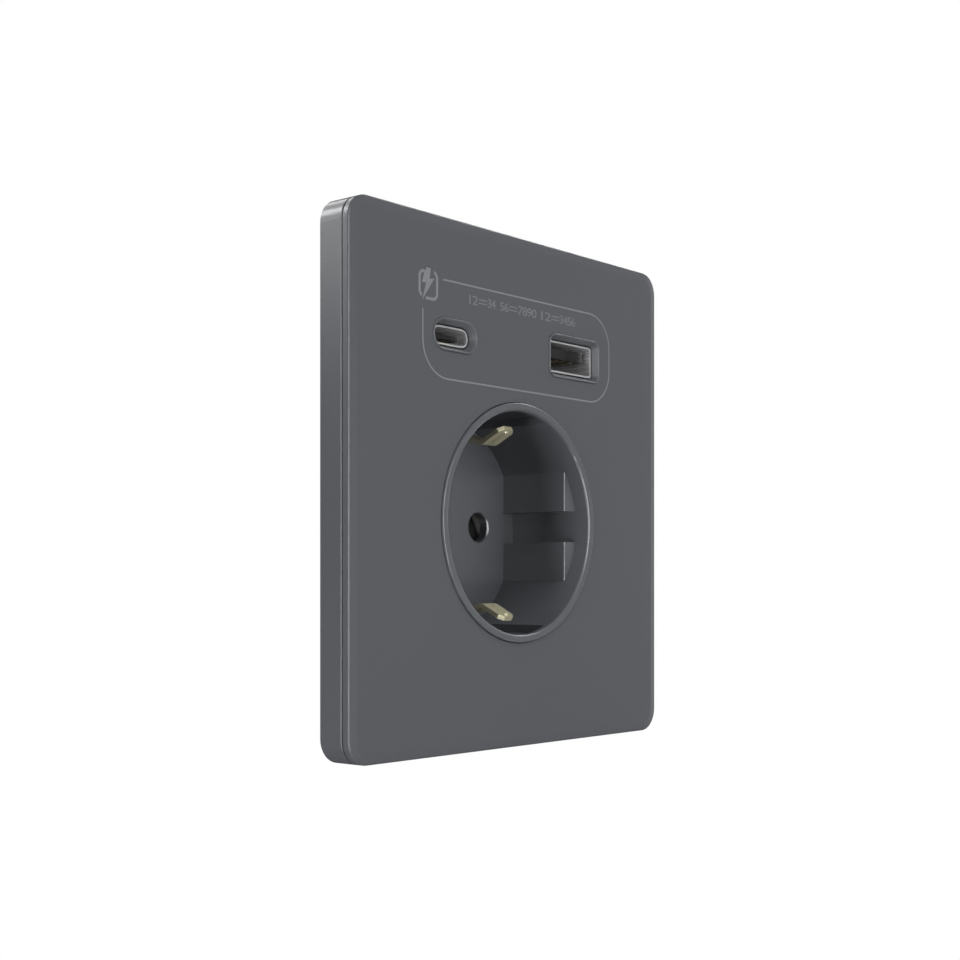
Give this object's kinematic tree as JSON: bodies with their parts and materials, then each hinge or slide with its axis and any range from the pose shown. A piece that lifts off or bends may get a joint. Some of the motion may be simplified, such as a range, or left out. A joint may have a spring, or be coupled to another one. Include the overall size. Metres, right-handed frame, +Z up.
{
  "type": "earthed wall socket with usb charging ports",
  "caption": "Square wall socket plate with a deep round earthed plug well and two charging ports above it, with the insert that goes into the wall box.",
  "frame": {"origin": "centre of the plate on the wall's surface, midway between the two fixing slots, at the back face of the support strap", "axes": "+Z up, +Y into the wall, so the plate faces -Y; +X to the right as seen from the front"},
  "size_m": [0.0856, 0.0431, 0.0904],
  "materials": {
    "panel_plastic": "fine satin moulding, dark grey",
    "frame_plastic": "fine satin moulding, dark grey",
    "insert_plastic": "fine satin moulding, dark grey",
    "housing_plastic": "fine satin moulding, off-white",
    "base_plastic": "fine satin moulding, off-white",
    "shutter_plastic": "smooth slippery moulding, dark grey",
    "spring_steel": "drawn spring wire",
    "strap_steel": "galvanised, stamped",
    "screw_steel": "bright zinc plating",
    "earth_brass": "pale nickel-brass strip, stamped and bent",
    "contact_brass": "phosphor bronze strip",
    "terminal_brass": "turned and drilled brass",
    "board_laminate": "green lacquered laminate",
    "shell_steel": "nickel-plated drawn sheet",
    "tongue_plastic": "black moulding",
    "port_contacts": "gold-plated strip",
    "core_ferrite": "sintered ferrite",
    "bobbin_plastic": "black moulding",
    "winding_tape": "yellow polyester tape",
    "capacitor_sleeve": "shrunk sleeve, dark",
    "capacitor_can": "bare drawn can",
    "chip_plastic": "black moulded package",
    "choke_wire": "enamelled copper wire",
    "lead_copper": "tinned copper wire"
  },
  "bodies": {
    "socket": {"front_panel": "panel_plastic", "cover_frame": "frame_plastic", "support_strap": "strap_steel", "socket_insert": "insert_plastic", "rear_housing": "housing_plastic", "contact_base": "base_plastic", "shutter_spring": "spring_steel", "earth_bracket": "earth_brass", "live_contact": "contact_brass", "neutral_contact": "contact_brass", "neutral_terminal": "terminal_brass", "earth_terminal": "terminal_brass", "live_terminal": "terminal_brass", "terminal_screws": "screw_steel", "housing_screws": "screw_steel", "usb_board": "board_laminate", "usb_a_shell": "shell_steel", "usb_c_shell": "shell_steel", "usb_a_tongue": "tongue_plastic", "usb_c_tongue": "tongue_plastic", "usb_a_contacts": "port_contacts", "usb_c_contacts": "port_contacts", "transformer_core": "core_ferrite", "transformer_bobbin": "bobbin_plastic", "transformer_winding": "winding_tape", "bulk_capacitors": "capacitor_sleeve", "output_capacitors": "capacitor_can", "bridge_rectifier": "chip_plastic", "control_chips": "chip_plastic", "choke_core": "core_ferrite", "choke_winding": "choke_wire", "live_lead": "lead_copper", "neutral_lead": "lead_copper"},
    "shutter": {"shutter": "shutter_plastic"}
  },
  "joints": [
    {"name": "shutter_slide", "type": "slide", "parent": "socket", "child": "shutter", "axis": [0, 0, -1], "range_m": [0, 0.0066], "stiffness_N_per_m": 60, "springref_m": -0.004, "deforming": ["shutter_spring"]}
  ]
}
